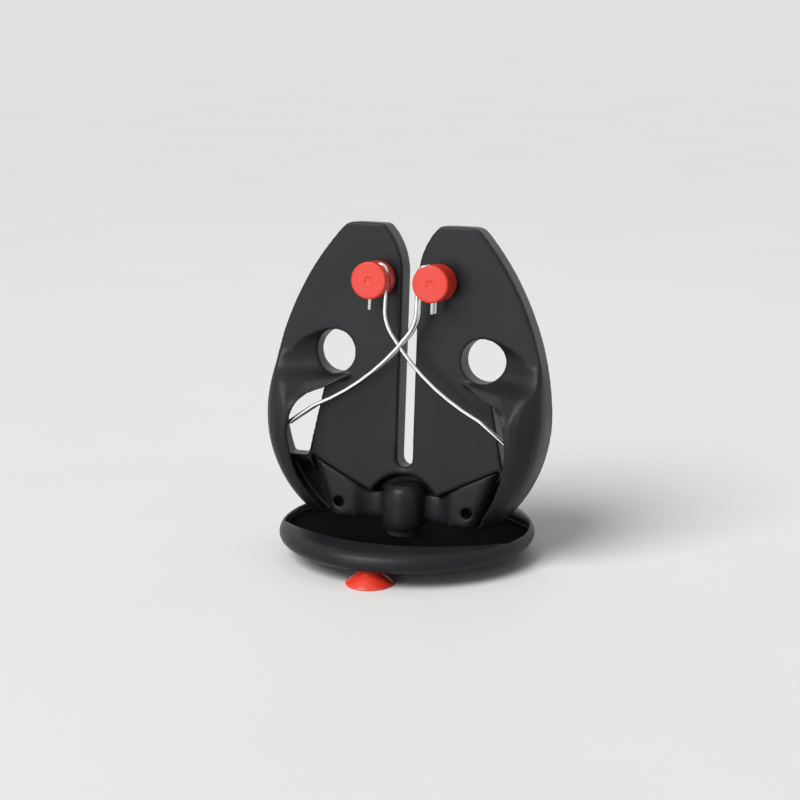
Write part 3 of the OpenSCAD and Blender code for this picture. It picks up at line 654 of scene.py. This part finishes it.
@dataclass
class Studio:
    """A wide pale floor, soft light and the camera at the photograph's angle."""

    azimuth_deg: float = 19.59
    elevation_deg: float = 13.20
    distance_m: float = 1.223
    target_m: tuple[float, float, float] = (-0.0045, 0.00125, 0.0945)
    focal_px: float = 2039.0
    frame_px: float = 800.0
    sensor_mm: float = 36.0
    floor_m: float = 14.0
    floor_colour: str = "#f0f0ee"
    floor_cloud: str = "#ececea"
    sky_colour: str = "#eef0f2"
    sky_level: float = 0.20
    sun_level: float = 0.90
    sun_width_deg: float = 38.0
    sun_from: tuple[float, float, float] = (-0.30, -0.62, 0.72)
    near_clip_m: float = 0.05
    floor_sides: int = 96
    floor_roughness: float = 0.62
    cloud_mm: float = 160.0
    cloud_detail: float = 2.0
    lamps: tuple[Softbox, ...] = (Softbox("softbox", (-0.55, -1.45, 0.22), (1.0, 0.7), 0.24),
                                  Softbox("top", (0.10, 0.30, 1.25), (1.1, 0.6), 0.10))

    def camera(self) -> None:
        """Sets the camera where the photograph was taken from."""
        azimuth, elevation = math.radians(self.azimuth_deg), math.radians(self.elevation_deg)
        target = Vector(self.target_m)
        level = math.cos(elevation)
        away = Vector((math.sin(azimuth) * level, -math.cos(azimuth) * level, math.sin(elevation)))
        eye = target + self.distance_m * away
        lens = bpy.data.cameras.new("photo_view")
        lens.sensor_width = self.sensor_mm
        lens.lens = self.focal_px * self.sensor_mm / self.frame_px
        lens.clip_start = self.near_clip_m
        holder = bpy.data.objects.new("photo_view", lens)
        holder.location = eye
        holder.rotation_euler = (target - eye).to_track_quat("-Z", "Y").to_euler()
        bpy.context.scene.collection.objects.link(holder)
        bpy.context.scene.camera = holder

    def lamp(self, softbox: Softbox) -> None:
        """Adds a soft lamp that faces the object.

        Args:
            softbox: The lamp, whose level of 1 would show a colour as it is written.
        """
        light = bpy.data.lights.new(softbox.name, "AREA")
        light.shape = "RECTANGLE"
        light.size, light.size_y = softbox.size_m
        aim = Vector(self.target_m) - Vector(softbox.place_m)
        light.energy = softbox.level * math.pi ** 2 * aim.length_squared
        holder = bpy.data.objects.new(softbox.name, light)
        holder.location = softbox.place_m
        holder.rotation_euler = aim.to_track_quat("-Z", "Y").to_euler()
        bpy.context.scene.collection.objects.link(holder)

    def sky(self) -> None:
        """Lights the scene evenly and shows a pale background to the camera, metal and gloss."""
        world = bpy.data.worlds.new("studio")
        world.use_nodes = True
        tree = world.node_tree
        tree.nodes.clear()
        path = add_node(tree, "ShaderNodeLightPath")
        direct = add_node(tree, "ShaderNodeMath", operation="MAXIMUM", in_0=path.outputs["Is Camera Ray"],
                          in_1=path.outputs["Is Glossy Ray"])
        seen = add_node(tree, "ShaderNodeMath", operation="MAXIMUM", in_0=direct.outputs[0],
                        in_1=path.outputs["Is Transmission Ray"])
        light = add_node(tree, "ShaderNodeBackground", Color=linear(self.sky_colour), Strength=self.sky_level)
        shown = add_node(tree, "ShaderNodeBackground", Color=linear(self.floor_colour), Strength=1.0)
        mixed = add_node(tree, "ShaderNodeMixShader", in_0=seen.outputs[0], in_1=light.outputs[0],
                         in_2=shown.outputs[0])
        add_node(tree, "ShaderNodeOutputWorld", Surface=mixed.outputs[0])
        bpy.context.scene.world = world

    def sun(self) -> None:
        """Adds the wide key light, which falls evenly on the whole floor."""
        light = bpy.data.lights.new("key", "SUN")
        light.energy = self.sun_level * math.pi
        light.angle = math.radians(self.sun_width_deg)
        holder = bpy.data.objects.new("key", light)
        holder.rotation_euler = (-Vector(self.sun_from)).to_track_quat("-Z", "Y").to_euler()
        bpy.context.scene.collection.objects.link(holder)

    def floor(self) -> None:
        """Builds the pale floor, wide enough to fill the view."""
        shape = bmesh.new()
        bmesh.ops.create_circle(shape, cap_ends=True, segments=self.floor_sides, radius=self.floor_m)
        mesh = mesh_from(shape, "floor")
        material = bpy.data.materials.new("pale_painted_floor")
        material.use_nodes = True
        tree = material.node_tree
        shader = tree.nodes["Principled BSDF"]
        where = add_node(tree, "ShaderNodeTexCoord").outputs["Object"]
        cloud = add_node(tree, "ShaderNodeTexNoise", Vector=where, Scale=per_metre(self.cloud_mm),
                         Detail=self.cloud_detail)
        tone = add_node(tree, "ShaderNodeMix", data_type="RGBA", in_0=cloud.outputs["Fac"],
                        in_6=linear(self.floor_colour), in_7=linear(self.floor_cloud))
        tree.links.new(tone.outputs[2], shader.inputs["Base Color"])
        shader.inputs["Roughness"].default_value = self.floor_roughness
        mesh.materials.append(material)
        floor = bpy.data.objects.new("floor", mesh)
        bpy.context.scene.collection.objects.link(floor)

    def build(self) -> None:
        """Sets up the whole studio."""
        bpy.context.scene.view_settings.view_transform = "Standard"
        self.camera()
        self.sky()
        self.floor()
        self.sun()
        for softbox in self.lamps:
            self.lamp(softbox)


def dress_nodes(finishes: dict[str, bpy.types.Material]) -> None:
    """Gives every CAD node that stays the finish of what it is made of.

    Args:
        finishes: The made materials by finish name.
    """
    worn_by = {
        "body": ("post", "left_bushing", "right_bushing", "left_back_cap", "right_back_cap", "base_dish",
                 "body_shell", "lower_cover"),
        "knob": ("left_knob", "right_knob"),
        "cup": ("suction_cup_front", "suction_cup_back_left", "suction_cup_back_right"),
        "wire": ("left_rod", "right_front_rod", "right_back_rod", "left_spring", "right_spring"),
        "plated": ("left_pivot_pin", "right_pivot_pin", "left_collar", "right_collar", "post_screw"),
        # The screws' near-black finish is partly blackened steel, partly painted shade of the wells.
        "black_steel": ("cover_screws",),
    }
    for finish, names in worn_by.items():
        for name in names:
            mesh = frame["nodes"][name].data
            mesh.materials.clear()
            mesh.materials.append(finishes[finish])
            LOG.info("%s: %s", name, finishes[finish].name)


def main() -> None:
    """Builds the sharpener and its studio."""
    logging.basicConfig(level=logging.INFO, format="%(message)s")
    made = Finishes()
    finishes = {name: getattr(made, name).make() for name in Finishes.__dataclass_fields__}
    dress_nodes(finishes)
    plate = PlateFrame.from_joint("left_swing")
    upright = plate.matrix()
    still = Matrix.Identity(4)
    mouldings = (
        PlateMoulding("body_shell", Body.PLATE, Slot.BLACK, grid_mm=0.9, rounds=8, upright=upright),
        CoverMoulding("lower_cover", Body.PLATE, Slot.BLACK, grid_mm=0.6, rounds=6, upright=upright),
    )
    for moulding in mouldings:
        moulding.build(finishes["body"])
    dish = DishMoulding("base_dish", Body.STAND, Slot.BLACK, grid_mm=0.8, rounds=6, upright=still)
    # The recess floor gets a near-black finish as painted shade.
    dish.paint_recess_shade(dish.build(finishes["body"]), finishes["etched"])
    for node, arm in (("left_knob", Body.LEFT_ARM), ("right_knob", Body.RIGHT_ARM)):
        SoftMoulding(node, arm, Slot.RED, grid_mm=0.25, rounds=3, upright=upright).build(finishes["knob"])
    rods = (
        BentRod("left_wire", "left_rod", Body.LEFT_ARM, side=-1, forward_mm=12.6, press_deg=1.5),
        BentRod("right_front_wire", "right_front_rod", Body.RIGHT_ARM, side=1, forward_mm=15.35,
                press_deg=-0.3),
        BentRod("right_back_wire", "right_back_rod", Body.RIGHT_ARM, side=1, forward_mm=9.85,
                press_deg=-0.3),
    )
    for rod in rods:
        rod.build(plate, finishes["wire"])
    for place in ("front", "back_left", "back_right"):
        SuctionCup(f"cup_{place}", f"suction_cup_{place}").build(finishes["cup"])
    Studio().build()


if __name__ == "__main__":
    main()
